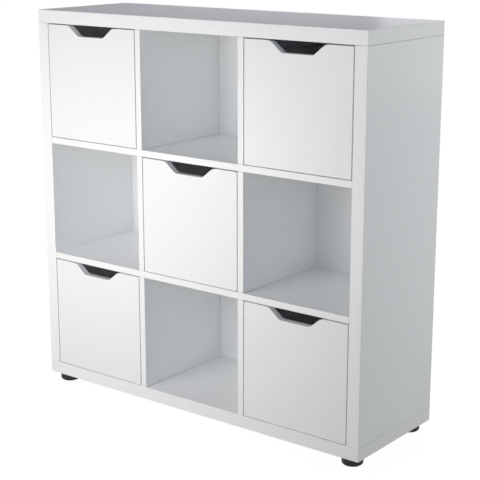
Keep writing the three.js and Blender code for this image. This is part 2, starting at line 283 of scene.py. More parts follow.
    def _wood_emboss(self) -> bpy.types.NodeTree:
        """The shallow pores and faint streaks pressed into white laminate, along the board's length."""
        inputs = {
            "Along X": (self.FLOAT, 0.0),
            "Pore Width": (self.FLOAT, 0.9 * MM),
            "Pore Length": (self.FLOAT, 45 * MM),
            "Streak Size": (self.FLOAT, 4.0),
            "Tone Spread": (self.FLOAT, 0.07),
        }
        outputs = {"Tone": self.FLOAT, "Height": self.FLOAT}
        sketch, given, end = new_group("wood_emboss", GroupKind.SHADER, inputs, outputs)
        place = sketch.add("ShaderNodeTexCoord").outputs["Object"]
        across = sketch.math("DIVIDE", 1.0, given["Pore Width"])
        along = sketch.math("DIVIDE", 1.0, given["Pore Length"])
        scale_x = sketch.ramp(given["Along X"], 0.0, 1.0, across, along)
        scale_z = sketch.ramp(given["Along X"], 0.0, 1.0, along, across)
        scale = sketch.add("ShaderNodeCombineXYZ", {0: scale_x, 1: across, 2: scale_z}).outputs[0]
        spread = sketch.add("ShaderNodeVectorMath", {0: place, 1: scale}, operation="MULTIPLY").outputs[0]
        pores = sketch.add("ShaderNodeTexNoise", {"Vector": spread, "Scale": 1.0}).outputs["Fac"]
        wide = sketch.math("DIVIDE", 1.0, given["Streak Size"])
        streaks = sketch.add("ShaderNodeTexNoise", {"Vector": spread, "Scale": wide, "Detail": 1.0})
        centred = sketch.math("SUBTRACT", streaks.outputs["Fac"], 0.5)
        swing = sketch.math("MULTIPLY", centred, given["Tone Spread"])
        sketch.feed(end.inputs["Tone"], sketch.math("ADD", 1.0, swing))
        sketch.feed(end.inputs["Height"], pores)
        return sketch.tree


# ---------------------------------------------------------------- finishes


@dataclass(frozen=True)
class Finish:
    """What every finish has: its look in plain values, and a material made from them.

    Attributes:
        name: The material's name.
        colour: The main colour.
        roughness: The main roughness.
        relief: The height of the bump.
        grain_size: The size of the fine grain.
        drift_size: The size of the slow changes in tone and roughness.
        tone_spread: How far those change the tone.
        roughness_spread: How far they change the roughness.
    """

    name: str
    colour: Colour
    roughness: float
    relief: float
    grain_size: float = 1.2 * MM
    drift_size: float = 120 * MM
    tone_spread: float = 0.02
    roughness_spread: float = 0.05

    def material(self, effects: SurfaceEffects) -> bpy.types.Material:
        """Builds the finish's material.

        Args:
            effects: The shader groups that it may place.

        Returns:
            The material.
        """
        material = bpy.data.materials.new(self.name)
        material.use_nodes = True
        material.node_tree.nodes.clear()
        material.diffuse_color = (*self.colour, 1.0)
        sketch = Sketch(material.node_tree)
        shader = sketch.add("ShaderNodeBsdfPrincipled")
        sketch.add("ShaderNodeOutputMaterial", {"Surface": shader.outputs["BSDF"]})
        self.draw(sketch, shader, effects)
        return material

    def draw(self, sketch: Sketch, shader: bpy.types.Node, effects: SurfaceEffects) -> None:
        """Draws what feeds the shader; each kind of finish has its own."""
        raise NotImplementedError

    def grain(self, sketch: Sketch, effects: SurfaceEffects, roughness: object) -> bpy.types.Node:
        """Places the fine grain with the finish's own values.

        Args:
            sketch: The material being drawn.
            effects: The shader groups.
            roughness: The roughness that the grain varies.

        Returns:
            The grain's node.
        """
        values = {
            "Grain Size": self.grain_size,
            "Drift Size": self.drift_size,
            "Tone Spread": self.tone_spread,
            "Roughness": roughness,
            "Roughness Spread": self.roughness_spread,
        }
        return effects.place(sketch, effects.fine_grain, values)

    def tinted(self, sketch: Sketch, colour: object, tone: bpy.types.NodeSocket) -> bpy.types.NodeSocket:
        """A colour made lighter or darker by a tone, and returned as a colour."""
        grey = sketch.add("ShaderNodeCombineColor", {0: tone, 1: tone, 2: tone}).outputs[0]
        node = sketch.add("ShaderNodeMix", {0: 1.0, 7: grey}, data_type="RGBA", blend_type="MULTIPLY")
        sketch.feed(node.inputs[6], (*colour, 1.0) if isinstance(colour, tuple) else colour)
        return node.outputs[2]

    def emboss(self, sketch: Sketch, shader: bpy.types.Node, height: bpy.types.NodeSocket) -> None:
        """Gives the shader a bump of the finish's relief."""
        bump = sketch.add("ShaderNodeBump", {"Height": height, "Strength": 1.0, "Distance": self.relief})
        sketch.feed(shader.inputs["Normal"], bump.outputs[0])


@dataclass(frozen=True)
class Melamine(Finish):
    """White laminate pressed on board, with a matching edge band and eased edges darkened by painted shade
    and wear.

    Attributes:
        band_colour: The edge band's colour.
        band_roughness: Its roughness.
        edge_shade_colour: The colour of the painted shade and wear on an eased edge.
        edge_shade_amount: How strongly that painted shade and wear show.
        dust_colour: The colour of dust.
        dust_amount: How much of it lies on what looks up.
        dust_roughness: How much rougher dust makes the laminate.
        streak_spread: How far the pressed streaks change the tone.
    """

    grain_size: float = 1.4 * MM
    drift_size: float = 160 * MM
    tone_spread: float = 0.014
    roughness_spread: float = 0.03
    band_colour: Colour = (0.8, 0.8, 0.8)
    band_roughness: float = 0.3
    # painted shade, with some wear, on the eased edges, which deepens the gap lines round the fronts
    edge_shade_colour: Colour = (0.5, 0.5, 0.48)
    edge_shade_amount: float = 0.5
    dust_colour: Colour = (0.62, 0.61, 0.58)
    dust_amount: float = 0.08
    dust_roughness: float = 0.6
    streak_spread: float = 0.05

    def draw(self, sketch: Sketch, shader: bpy.types.Node, effects: SurfaceEffects) -> None:
        """Draws laminate on the faces, band on the edges, painted shade and wear on the arrises, and dust
        on what looks up.
        """
        band = sketch.add("ShaderNodeAttribute", attribute_name="band").outputs["Fac"]
        arris = sketch.add("ShaderNodeAttribute", attribute_name="arris").outputs["Fac"]
        roughness = sketch.ramp(band, 0.0, 1.0, self.roughness, self.band_roughness)
        grain = self.grain(sketch, effects, roughness)
        along_x = sketch.add("ShaderNodeAttribute", attribute_name="along_x").outputs["Fac"]
        emboss = effects.place(
            sketch, effects.wood_emboss, {"Along X": along_x, "Tone Spread": self.streak_spread}
        )
        shaded_edges = effects.place(sketch, effects.edge_shade_and_wear, {"Edge": arris, "Amount": self.edge_shade_amount})
        dust = effects.place(sketch, effects.settled_dust, {"Amount": self.dust_amount})
        base = sketch.blend(band, self.colour, self.band_colour)
        tone = sketch.math("MULTIPLY", grain.outputs["Tone"], emboss.outputs["Tone"])
        base = self.tinted(sketch, base, tone)
        # painted shade and wear: the arrises blended towards the darker edge colour
        base = sketch.blend(shaded_edges.outputs["Mask"], base, self.edge_shade_colour)
        base = sketch.blend(dust.outputs["Mask"], base, self.dust_colour)
        sketch.feed(shader.inputs["Base Color"], base)
        duller = sketch.math("MULTIPLY", dust.outputs["Mask"], self.dust_roughness)
        sketch.feed(shader.inputs["Roughness"], sketch.math("ADD", grain.outputs["Roughness"], duller))
        height = sketch.math("ADD", grain.outputs["Height"], emboss.outputs["Height"])
        self.emboss(sketch, shader, height)


@dataclass(frozen=True)
class Chipboard(Finish):
    """The raw core of a board where a groove or a pocket is cut: pressed wood chips of mixed browns.

    Attributes:
        dark: The colour of the darkest chips; the main colour is that of the lightest.
        chip_size: The size of a chip.
    """

    grain_size: float = 0.6 * MM
    tone_spread: float = 0.3
    dark: Colour = (0.24, 0.15, 0.08)
    chip_size: float = 2.2 * MM

    def draw(self, sketch: Sketch, shader: bpy.types.Node, effects: SurfaceEffects) -> None:
        """Draws the chips as cells of random tone."""
        place = sketch.add("ShaderNodeTexCoord").outputs["Object"]
        chips = sketch.add("ShaderNodeTexVoronoi", {"Vector": place, "Scale": 1.0 / self.chip_size})
        tone = sketch.add("ShaderNodeSeparateColor", {0: chips.outputs["Color"]}).outputs[0]
        grain = self.grain(sketch, effects, self.roughness)
        base = self.tinted(sketch, sketch.blend(tone, self.dark, self.colour), grain.outputs["Tone"])
        sketch.feed(shader.inputs["Base Color"], base)
        sketch.feed(shader.inputs["Roughness"], grain.outputs["Roughness"])
        self.emboss(sketch, shader, chips.outputs["Distance"])


@dataclass(frozen=True)
class Fibreboard(Finish):
    """Thin hardboard: raw brown, or lacquered so that its fibres show only as a faint relief.

    Attributes:
        fibre_width: The width of a fibre.
        fibre_contrast: How strongly the fibres show, from 0 to 1.
    """

    grain_size: float = 5 * MM
    tone_spread: float = 0.06
    fibre_width: float = 0.7 * MM
    fibre_contrast: float = 1.0

    def draw(self, sketch: Sketch, shader: bpy.types.Node, effects: SurfaceEffects) -> None:
        """Draws the fibres over the colour, as strongly as the contrast says."""
        fibres = effects.place(sketch, effects.fibres, {"Fibre Width": self.fibre_width})
        grain = self.grain(sketch, effects, self.roughness)
        dark, light = effects.FIBRE_TONES[2:]
        softened = [1.0 + (end - 1.0) * self.fibre_contrast for end in (dark, light)]
        tone = sketch.ramp(fibres.outputs["Tone"], dark, light, *softened)
        base = self.tinted(sketch, self.colour, sketch.math("MULTIPLY", tone, grain.outputs["Tone"]))
        sketch.feed(shader.inputs["Base Color"], base)
        sketch.feed(shader.inputs["Roughness"], grain.outputs["Roughness"])
        self.emboss(sketch, shader, fibres.outputs["Height"])


@dataclass(frozen=True)
class MouldedPlastic(Finish):
    """Injection-moulded plastic with a fine spark-eroded grain.

    Attributes:
        dust_size: The size of a patch of dust.
        dust_colour: The colour of dust.
        dust_amount: How much of it lies on what looks up.
    """

    grain_size: float = 0.5 * MM
    drift_size: float = 20 * MM
    tone_spread: float = 0.25
    roughness_spread: float = 0.15
    dust_size: float = 8 * MM
    dust_colour: Colour = (0.3, 0.3, 0.29)
    dust_amount: float = 0.15

    def draw(self, sketch: Sketch, shader: bpy.types.Node, effects: SurfaceEffects) -> None:
        """Draws the grain and a little dust."""
        grain = self.grain(sketch, effects, self.roughness)
        settled = {"Patch Size": self.dust_size, "Amount": self.dust_amount}
        dust = effects.place(sketch, effects.settled_dust, settled)
        base = self.tinted(sketch, self.colour, grain.outputs["Tone"])
        base = sketch.blend(dust.outputs["Mask"], base, self.dust_colour)
        sketch.feed(shader.inputs["Base Color"], base)
        sketch.feed(shader.inputs["Roughness"], grain.outputs["Roughness"])
        self.emboss(sketch, shader, grain.outputs["Height"])


@dataclass(frozen=True)
class ZincPlate(Finish):
    """Bright zinc on steel or die-cast fittings, with clouds of duller and yellower metal.

    Attributes:
        cloud_colour: The colour of the clouds.
        cloud_tones: The grain's tones between which the clouds come in.
    """

    grain_size: float = 0.4 * MM
    drift_size: float = 6 * MM
    tone_spread: float = 0.3
    roughness_spread: float = 0.25
    cloud_colour: Colour = (0.62, 0.58, 0.48)
    cloud_tones: tuple[float, float] = (0.95, 1.05)

    def draw(self, sketch: Sketch, shader: bpy.types.Node, effects: SurfaceEffects) -> None:
        """Draws the clouded metal."""
        shader.inputs["Metallic"].default_value = 1.0
        grain = self.grain(sketch, effects, self.roughness)
        clouds = sketch.ramp(grain.outputs["Tone"], *self.cloud_tones, 0.0, 1.0)
        sketch.feed(shader.inputs["Base Color"], sketch.blend(clouds, self.colour, self.cloud_colour))
        sketch.feed(shader.inputs["Roughness"], grain.outputs["Roughness"])
        self.emboss(sketch, shader, grain.outputs["Height"])


class Finishes:
    """Every material of the unit, made once."""

    def __init__(self) -> None:
        """Makes the shared effects and then each material."""
        effects = SurfaceEffects()
        self.carcass = Melamine(
            "white_melamine",
            colour=(0.900, 0.914, 0.922),
            roughness=0.27,
            relief=0.013 * MM,
            band_colour=(0.906, 0.912, 0.904),
            band_roughness=0.33,
        ).material(effects)
        self.drawer_front = Melamine(
            "white_melamine_front",
            colour=(0.87, 0.882, 0.888),
            roughness=0.34,
            relief=0.009 * MM,
            band_colour=(0.85, 0.86, 0.865),
            band_roughness=0.36,
            streak_spread=0.04,
        ).material(effects)
        self.drawer_box = Melamine(
            "white_foil",
            colour=(0.80, 0.805, 0.80),
            roughness=0.42,
            relief=0.02 * MM,
            band_colour=(0.74, 0.74, 0.735),
            band_roughness=0.45,
            grain_size=0.9 * MM,
        ).material(effects)
        self.core = Chipboard(
            "chipboard_core",
            colour=(0.50, 0.35, 0.20),
            roughness=0.85,
            relief=0.15 * MM,
        ).material(effects)
        self.white_hardboard = Fibreboard(
            "white_hardboard",
            colour=(0.900, 0.914, 0.920),
            roughness=0.3,
            relief=0.01 * MM,
            fibre_contrast=0.08,
        ).material(effects)
        self.raw_hardboard = Fibreboard(
            "raw_hardboard",
            colour=(0.34, 0.215, 0.125),
            roughness=0.7,
            relief=0.06 * MM,
            fibre_contrast=1.0,
        ).material(effects)
        self.foot_plastic = MouldedPlastic(
            "black_foot_plastic",
            colour=(0.007, 0.0075, 0.009),
            roughness=0.38,
            relief=0.03 * MM,
        ).material(effects)
        self.runner_plastic = MouldedPlastic(
            "grey_runner_plastic",
            colour=(0.58, 0.585, 0.58),
            roughness=0.45,
            relief=0.015 * MM,
            dust_amount=0.05,
        ).material(effects)
        self.zinc = ZincPlate(
            "zinc_plate",
            colour=(0.66, 0.67, 0.69),
            roughness=0.32,
            relief=0.02 * MM,
        ).material(effects)


# ---------------------------------------------------------------- mesh work


@dataclass(frozen=True)
class Box:
    """A block of space between two corners.

    Attributes:
        low: The corner with the least X, Y and Z.
        high: The corner with the greatest.
    """

    low: Vector
    high: Vector

    @classmethod
    def of(cls, node: str) -> "Box":
        """The box of a CAD node."""
        return cls(*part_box(node))

    @property
    def size(self) -> Vector:
        """The box's three sides."""
        return self.high - self.low

    @property
    def centre(self) -> Vector:
        """The box's middle."""
        return (self.low + self.high) / 2

    def grown(self, by: float) -> "Box":
        """The box with every side moved out by a distance."""
        margin = Vector((by, by, by))
        return Box(self.low - margin, self.high + margin)

    def holds(self, point: Vector) -> bool:
        """Whether a point is in the box."""
        return all(a <= p <= b for a, p, b in zip(self.low, point, self.high, strict=True))


class FaceKind(enum.IntEnum):
    """What a board's face is; the laminate's material reads it to tell faces, bands and arrises apart."""

    LAMINATE = 0
    BAND = 1
    ARRIS = 2
    CORE = 3


def add_box(mesh: bmesh.types.BMesh, box: Box) -> None:
    """Adds a closed block to a mesh."""
    made = bmesh.ops.create_cube(mesh, size=1.0)["verts"]
    bmesh.ops.scale(mesh, vec=box.size, verts=made)
    bmesh.ops.translate(mesh, vec=box.centre, verts=made)


def add_cone(
    mesh: bmesh.types.BMesh, base: Vector, axis: Vector, radii: tuple[float, float], length: float
) -> None:
    """Adds a closed cone or cylinder.

    Args:
        mesh: The mesh that it is added to.
        base: The middle of its first end.
        axis: The unit direction from its first end to its second.
        radii: Its radius at the first and at the second end.
        length: The distance between the ends.
    """
    turn = axis.to_track_quat("Z", "Y").to_matrix().to_4x4()
    place = Matrix.Translation(base + axis * (length / 2)) @ turn
    bmesh.ops.create_cone(
        mesh,
        cap_ends=True,
        segments=CONE_SIDES,
        radius1=radii[0],
        radius2=radii[1],
        depth=length,
        matrix=place,
    )


def to_mesh(mesh: bmesh.types.BMesh, name: str) -> bpy.types.Mesh:
    """Turns a working mesh into Blender's kind, and frees it."""
    made = bpy.data.meshes.new(name)
    mesh.to_mesh(made)
    mesh.free()
    return made


def carve(body: bmesh.types.BMesh, cutters: bmesh.types.BMesh) -> bmesh.types.BMesh:
    """Takes cutters out of a body.

    Args:
        body: The closed mesh to cut. It is freed.
        cutters: Closed shapes to take away. They are freed.

    Returns:
        What is left, as a working mesh.
    """
    solid = bpy.data.objects.new("carved_body", to_mesh(body, "carved_body"))
    tool = bpy.data.objects.new("carving_tool", to_mesh(cutters, "carving_tool"))
    for piece in (solid, tool):
        bpy.context.scene.collection.objects.link(piece)
    cut = solid.modifiers.new("cut", "BOOLEAN")
    cut.operation = "DIFFERENCE"
    cut.solver = "EXACT"
    cut.object = tool
    graph = bpy.context.evaluated_depsgraph_get()
    left = bpy.data.meshes.new_from_object(solid.evaluated_get(graph), depsgraph=graph)
    result = bmesh.new()
    result.from_mesh(left)
    for data in (left, solid.data, tool.data):
        bpy.data.meshes.remove(data)
    return result


def rounded_outline(corners: Sequence[tuple[float, float, float]], steps: int) -> list[tuple[float, float]]:
    """A closed outline whose corners are rounded.

    Args:
        corners: Each corner's two coordinates and its radius, 0 where it stays sharp.
        steps: How many straight steps each arc has.

    Returns:
        The outline's points in order.
    """
    outline = []
    for number, (x, y, radius) in enumerate(corners):
        corner = Vector((x, y))
        if radius == 0:
            outline.append((x, y))
            continue
        back = (Vector(corners[number - 1][:2]) - corner).normalized()
        ahead = (Vector(corners[(number + 1) % len(corners)][:2]) - corner).normalized()
        half = back.angle(ahead) / 2
        centre = corner + (back + ahead).normalized() * (radius / math.sin(half))
        start = corner + back * (radius / math.tan(half)) - centre
        end = corner + ahead * (radius / math.tan(half)) - centre
        sweep = start.angle_signed(end)
        for step in range(steps + 1):
            turn = Matrix.Rotation(-sweep * step / steps, 2)
            outline.append(tuple(centre + turn @ start))
    return outline


def prism(rim: Iterable[Point], depth: Point) -> bmesh.types.BMesh:
    """A closed slab: a flat outline pulled out straight.

    Args:
        rim: The outline's points in order.
        depth: How far, and which way, it is pulled out.

    Returns:
        The slab as a working mesh.
    """
    mesh = bmesh.new()
    face = mesh.faces.new([mesh.verts.new(point) for point in rim])
    far = bmesh.ops.extrude_face_region(mesh, geom=[face])["geom"]
    moved = [item for item in far if isinstance(item, bmesh.types.BMVert)]
    bmesh.ops.translate(mesh, vec=depth, verts=moved)
    bmesh.ops.recalc_face_normals(mesh, faces=mesh.faces)
    return mesh


def turned(profile: Sequence[tuple[float, float]], steps: int) -> bmesh.types.BMesh:
    """A closed ring turned about Z.

    Args:
        profile: The ring's section as radius and height, closed on itself and off the axis.
        steps: How many steps the turn has.

    Returns:
        The ring as a working mesh.
    """
    mesh = bmesh.new()
    rings = []
    for step in range(steps):
        angle = math.tau * step / steps
        across = (math.cos(angle), math.sin(angle))
        rings.append([mesh.verts.new((r * across[0], r * across[1], z)) for r, z in profile])
    for ring, following in zip(rings, rings[1:] + rings[:1], strict=True):
        for number in range(len(profile)):
            after = (number + 1) % len(profile)
            mesh.faces.new((ring[number], following[number], following[after], ring[after]))
    bmesh.ops.recalc_face_normals(mesh, faces=mesh.faces)
    return mesh


def core_in_cuts(_: bmesh.types.BMFace, kind: FaceKind) -> int:
    """The number of a face's material on a board whose second material is its core."""
    return int(kind == FaceKind.CORE)


def faced(way: Point) -> Callable[[bmesh.types.BMFace, FaceKind], int]:
    """A chooser that gives faces that look a way the first material, and all others the second."""
    least_lean = 0.5
    return lambda face, _: int(face.normal.dot(Vector(way)) < least_lean)


@dataclass
class BoardShaper:
    """Finishes boards: eases their arrises, tells their faces apart and gives them their materials.

    Attributes:
        arris_radius: The radius of an eased edge.
        arris_steps: How many steps its arc has.
        flat_angle: Triangles that bend by less are one face.
        sharp_angle: Edges that bend by more are arrises, and stay sharp in the shading.
        weld: Points closer than this are one.
        on_box: How close to a plane of the board's box a face counts as in it.
        square_on: How much of a face's normal must lie along an axis for it to count as square to it.
        edge_on: How little of it may, for the face to count as along the axis.
    """

    arris_radius: float = 0.6 * MM
    arris_steps: int = 3
    flat_angle: float = math.radians(1.0)
    sharp_angle: float = math.radians(50.0)
    weld: float = 0.002 * MM
    on_box: float = 0.01 * MM
    square_on: float = 0.999
    edge_on: float = 0.001

    def from_cad(self, node: str) -> bmesh.types.BMesh:
        """A CAD board as a working mesh, its triangles welded and its flat faces made whole."""
        mesh = bmesh.new()
        mesh.from_mesh(frame["nodes"][node].data)
        bmesh.ops.remove_doubles(mesh, verts=mesh.verts, dist=self.weld)
        bmesh.ops.dissolve_limit(mesh, angle_limit=self.flat_angle, verts=mesh.verts, edges=mesh.edges)
        return mesh

    def _is_outer(self, face: bmesh.types.BMFace, box: Box) -> bool:
        """Whether a face lies in one of the six planes round the board."""
        for axis in range(3):
            if abs(face.normal[axis]) > self.square_on:
                place = face.verts[0].co[axis]
                return min(abs(place - box.low[axis]), abs(place - box.high[axis])) < self.on_box
        return False

    def ease_arrises(self, mesh: bmesh.types.BMesh, box: Box, shaped_rim: bool = False) -> None:
        """Rounds the board's outer edges and leaves the lips of its cuts sharp.

        Args:
            mesh: The board.
            box: The board's own box.
            shaped_rim: Whether the board's rim is an outline of its own, whose every edge is eased.
        """
        mesh.normal_update()
        sharp = []
        for edge in mesh.edges:
            if not edge.is_manifold or edge.calc_face_angle() < self.sharp_angle:
                continue
            if shaped_rim or all(self._is_outer(face, box) for face in edge.link_faces):
                sharp.append(edge)
        bmesh.ops.bevel(
            mesh,
            geom=sharp,
            offset=self.arris_radius,
            segments=self.arris_steps,
            profile=ROUND_PROFILE,
            affect="EDGES",
            clamp_overlap=True,
        )

    def kind_of(self, face: bmesh.types.BMFace, box: Box, thin: int, cuts: Iterable[Box]) -> FaceKind:
        """What a face of the board is.

        Args:
            face: The face.
            box: The board's own box.
            thin: The axis along the board's thickness.
            cuts: What the board is cut for, as boxes a little larger than each cut.

        Returns:
            The face's kind.
        """
        along = abs(face.normal[thin])
        if not self._is_outer(face, box) and any(cut.holds(face.calc_center_median()) for cut in cuts):
            return FaceKind.CORE
        if along > self.square_on:
            return FaceKind.LAMINATE
        return FaceKind.BAND if along < self.edge_on else FaceKind.ARRIS

    def finish(
        self,
        name: str,
        mesh: bmesh.types.BMesh,
        cuts: Iterable[Box],
        materials: Sequence[bpy.types.Material],
        index_of: Callable[[bmesh.types.BMFace, FaceKind], int],
    ) -> bpy.types.Object:
        """Makes a board's object with its face kinds, shading and materials.

        Args:
            name: The piece's name.
            mesh: The board as a working mesh. It is freed.
            cuts: What the board is cut for, as boxes a little larger than each cut.
            materials: The board's materials.
            index_of: Gives the number of a face's material from the face and its kind.

        Returns:
            The board's object.
        """
        places = [vertex.co for vertex in mesh.verts]
        low, high = (Vector([pick(p[axis] for p in places) for axis in range(3)]) for pick in (min, max))
        box = Box(low, high)
        thin = min(range(3), key=lambda axis: box.size[axis])
        mesh.normal_update()
        band = mesh.faces.layers.float.new("band")
        arris = mesh.faces.layers.float.new("arris")
        along_x = mesh.faces.layers.float.new("along_x")
        lies_flat = float(thin == 2)
        for face in mesh.faces:
            kind = self.kind_of(face, box, thin, cuts)
            face[band] = float(kind == FaceKind.BAND)
            face[arris] = float(kind == FaceKind.ARRIS)
            face[along_x] = lies_flat
            face.material_index = index_of(face, kind)
        data = to_mesh(mesh, name)
        for material in materials:
            data.materials.append(material)
        data.shade_smooth()
        data.set_sharp_from_angle(angle=self.sharp_angle)
        piece = new_piece(name, data)
        weighted = piece.modifiers.new("even_faces", "WEIGHTED_NORMAL")
        weighted.keep_sharp = True
        return piece


def new_piece(name: str, mesh: bpy.types.Mesh) -> bpy.types.Object:
    """Puts a mesh in the scene as an object at the origin."""
    piece = bpy.data.objects.new(name, mesh)
    bpy.context.scene.collection.objects.link(piece)
    return piece


def new_moulding(name: str, mesh: bpy.types.Mesh) -> bpy.types.Object:
    """Puts a turned, moulded or metal piece in the scene, its curves shaded smooth."""
    mesh.shade_smooth()
    mesh.set_sharp_from_angle(angle=MOULDED_SHARP)
    return new_piece(name, mesh)


def hand_over(piece: bpy.types.Object, body: str, nodes: Sequence[str] = ()) -> bpy.types.Object:
    """Puts a finished piece on its body, and says what it stands for.

    Args:
        piece: The piece, in place.
        body: The body that it rides on.
        nodes: The CAD nodes that it is shown instead of.

    Returns:
        The piece.
    """
    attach(piece, body)
    if nodes:
        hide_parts(*nodes)
    LOG.info("%s rides on %s, %d faces", piece.name, body, len(piece.data.polygons))
    return piece


# ---------------------------------------------------------------- fasteners


@dataclass(frozen=True)
class Fastener:
    """One screw or fitting, whose face lies flush in the surface that it is set in.

    Attributes:
        head_radius: The radius of its face.
        under_radius: The radius under the head, smaller on a countersunk one.
        head_height: From its face to the underside of the head.
        slot_length: The length of each bar of the cross.
        slot_width: The width of each bar.
        slot_depth: How deep the cross is.
        shank_radius: The shank's radius, or 0 for a fitting with none.
        shank_length: From the head to the end of the straight shank, before its point.
    """

    POINT_RADII = 2.0
    LEAST_SIZE = 0.01 * MM

    head_radius: float
    under_radius: float
    head_height: float
    slot_length: float
    slot_width: float
    slot_depth: float
    shank_radius: float = 0.0
    shank_length: float = 0.0

    @property
    def point_length(self) -> float:
        """The length of the shank's point."""
        return self.POINT_RADII * self.shank_radius

    def inputs(self) -> dict[str, float]:
        """The fastener's sizes by the names of the tree's inputs, none of them zero."""
        return {
            "Head Radius": self.head_radius,
            "Under Radius": self.under_radius,
            "Head Height": self.head_height,
            "Slot Length": self.slot_length,
            "Slot Width": self.slot_width,
            "Slot Depth": self.slot_depth,
            "Shank Radius": max(self.shank_radius, self.LEAST_SIZE),
            "Shank Length": max(self.shank_length, self.LEAST_SIZE),
        }


class FastenerTree:
    """Geometry nodes that set a fastener at each of a mesh's points, facing the way its attribute says."""

    SEED = 7
    SIDES = 24

    def __init__(self) -> None:
        """Builds the tree."""
        sizes = {name: ("NodeSocketFloat", 1.0 * MM) for name in Fastener(*[MM] * 6).inputs()}
        inputs = {
            "Points": ("NodeSocketGeometry", None),
            **sizes,
            "Has Shank": ("NodeSocketBool", True),
            "Material": ("NodeSocketMaterial", None),
        }
        sketch, given, end = new_group(
            "fasteners", GroupKind.GEOMETRY, inputs, {"Geometry": "NodeSocketGeometry"}
        )
        self.tree = sketch.tree
        head = self._head(sketch, given)
        shank = self._shank(sketch, given)
        both = sketch.add("GeometryNodeJoinGeometry", {0: [head, shank]}).outputs[0]
        whole = sketch.add(
            "GeometryNodeSwitch",
            {"Switch": given["Has Shank"], "False": head, "True": both},
            input_type="GEOMETRY",
        ).outputs[0]
        facing = sketch.add("GeometryNodeInputNamedAttribute", {"Name": "facing"}, data_type="FLOAT_VECTOR")
        aim = sketch.add("FunctionNodeAlignRotationToVector", {"Vector": facing.outputs[0]}, axis="Z")
        set_in = sketch.add(
            "GeometryNodeInstanceOnPoints",
            {"Points": given["Points"], "Instance": whole, "Rotation": aim.outputs[0]},
        )
        spin = sketch.add(
            "FunctionNodeRandomValue", {2: 0.0, 3: math.tau, "Seed": self.SEED}, data_type="FLOAT"
        )
        turn = sketch.add("ShaderNodeCombineXYZ", {2: spin.outputs[1]})
        turned_in = sketch.add(
            "GeometryNodeRotateInstances", {"Instances": set_in.outputs[0], "Rotation": turn.outputs[0]}
        )
        real = sketch.add("GeometryNodeRealizeInstances", {0: turned_in.outputs[0]})
        dressed = sketch.add("GeometryNodeSetMaterial", {0: real.outputs[0], "Material": given["Material"]})
        sketch.feed(end.inputs[0], dressed.outputs[0])

    def _head(self, sketch: Sketch, given: dict) -> bpy.types.NodeSocket:
        """The head with its cross cut in, its face at height 0."""
        cone = sketch.add(
            "GeometryNodeMeshCone",
            {
                "Vertices": self.SIDES,
                "Radius Top": given["Head Radius"],
                "Radius Bottom": given["Under Radius"],
                "Depth": given["Head Height"],
            },
        )
        drop = sketch.math("MULTIPLY", given["Head Height"], -1.0)
        sink = sketch.add("ShaderNodeCombineXYZ", {2: drop}).outputs[0]
        head = sketch.add("GeometryNodeTransform", {0: cone.outputs[0], "Translation": sink}).outputs[0]
        twice = sketch.math("MULTIPLY", given["Slot Depth"], 2.0)
        bars = []
        for across in (("Slot Length", "Slot Width"), ("Slot Width", "Slot Length")):
            size = sketch.add("ShaderNodeCombineXYZ", {0: given[across[0]], 1: given[across[1]], 2: twice})
            bars.append(sketch.add("GeometryNodeMeshCube", {"Size": size.outputs[0]}).outputs[0])
        cross = sketch.add("GeometryNodeMeshBoolean", {1: bars}, operation="UNION", solver="EXACT")
        cut = sketch.add(
            "GeometryNodeMeshBoolean",
            {0: head, 1: cross.outputs[0]},
            operation="DIFFERENCE",
            solver="EXACT",
        )
        return cut.outputs[0]

    def _shank(self, sketch: Sketch, given: dict) -> bpy.types.NodeSocket:
        """The shank and its point, below the head."""
        rod = sketch.add(
            "GeometryNodeMeshCylinder",
            {"Vertices": self.SIDES // 2, "Radius": given["Shank Radius"], "Depth": given["Shank Length"]},
        )
        half = sketch.math("MULTIPLY", given["Shank Length"], 0.5)
        middle = sketch.math("MULTIPLY", sketch.math("ADD", given["Head Height"], half), -1.0)
        rod_place = sketch.add("ShaderNodeCombineXYZ", {2: middle}).outputs[0]
        placed_rod = sketch.add("GeometryNodeTransform", {0: rod.outputs[0], "Translation": rod_place})
        point_length = sketch.math("MULTIPLY", given["Shank Radius"], Fastener.POINT_RADII)
        point = sketch.add(
            "GeometryNodeMeshCone",
            {
                "Vertices": self.SIDES // 2,
                "Radius Top": given["Shank Radius"],
                "Radius Bottom": 0.0,
                "Depth": point_length,
            },
        )
        to_point = sketch.math("ADD", given["Head Height"], given["Shank Length"])
        reach = sketch.math("ADD", to_point, point_length)
        depth = sketch.math("MULTIPLY", reach, -1.0)
        point_place = sketch.add("ShaderNodeCombineXYZ", {2: depth}).outputs[0]
        placed_point = sketch.add(
            "GeometryNodeTransform", {0: point.outputs[0], "Translation": point_place}
        )
        parts = [placed_rod.outputs[0], placed_point.outputs[0]]
        return sketch.add("GeometryNodeJoinGeometry", {0: parts}).outputs[0]

    def make(
        self,
        name: str,
        places: Sequence[tuple[Vector, Vector]],
        fastener: Fastener,
        material: bpy.types.Material,
    ) -> bpy.types.Object:
        """Sets fasteners, and bakes them to one plain mesh.

        Args:
            name: The piece's name.
            places: The middle of each fastener's face, and the way it faces.
            fastener: The sizes.
            material: Their material.

        Returns:
            The fasteners as one object.
        """
        points = bpy.data.meshes.new(f"{name}_points")
        points.from_pydata([place for place, _ in places], [], [])
        facing = points.attributes.new("facing", "FLOAT_VECTOR", "POINT")
        facing.data.foreach_set("vector", [value for _, way in places for value in way])
        maker = new_piece(f"{name}_maker", points)
        nodes = maker.modifiers.new("fasteners", "NODES")
        nodes.node_group = self.tree
        values = {**fastener.inputs(), "Has Shank": fastener.shank_radius > 0, "Material": material}
        for item in self.tree.interface.items_tree:
            if item.in_out == "INPUT" and item.name in values:
                nodes[item.identifier] = values[item.name]
        graph = bpy.context.evaluated_depsgraph_get()
        made = bpy.data.meshes.new_from_object(maker.evaluated_get(graph), depsgraph=graph)
        maker.modifiers.remove(nodes)
        bpy.data.objects.remove(maker)
        made.name = name
        return new_moulding(name, made)


# ---------------------------------------------------------------- the unit's sub-assemblies


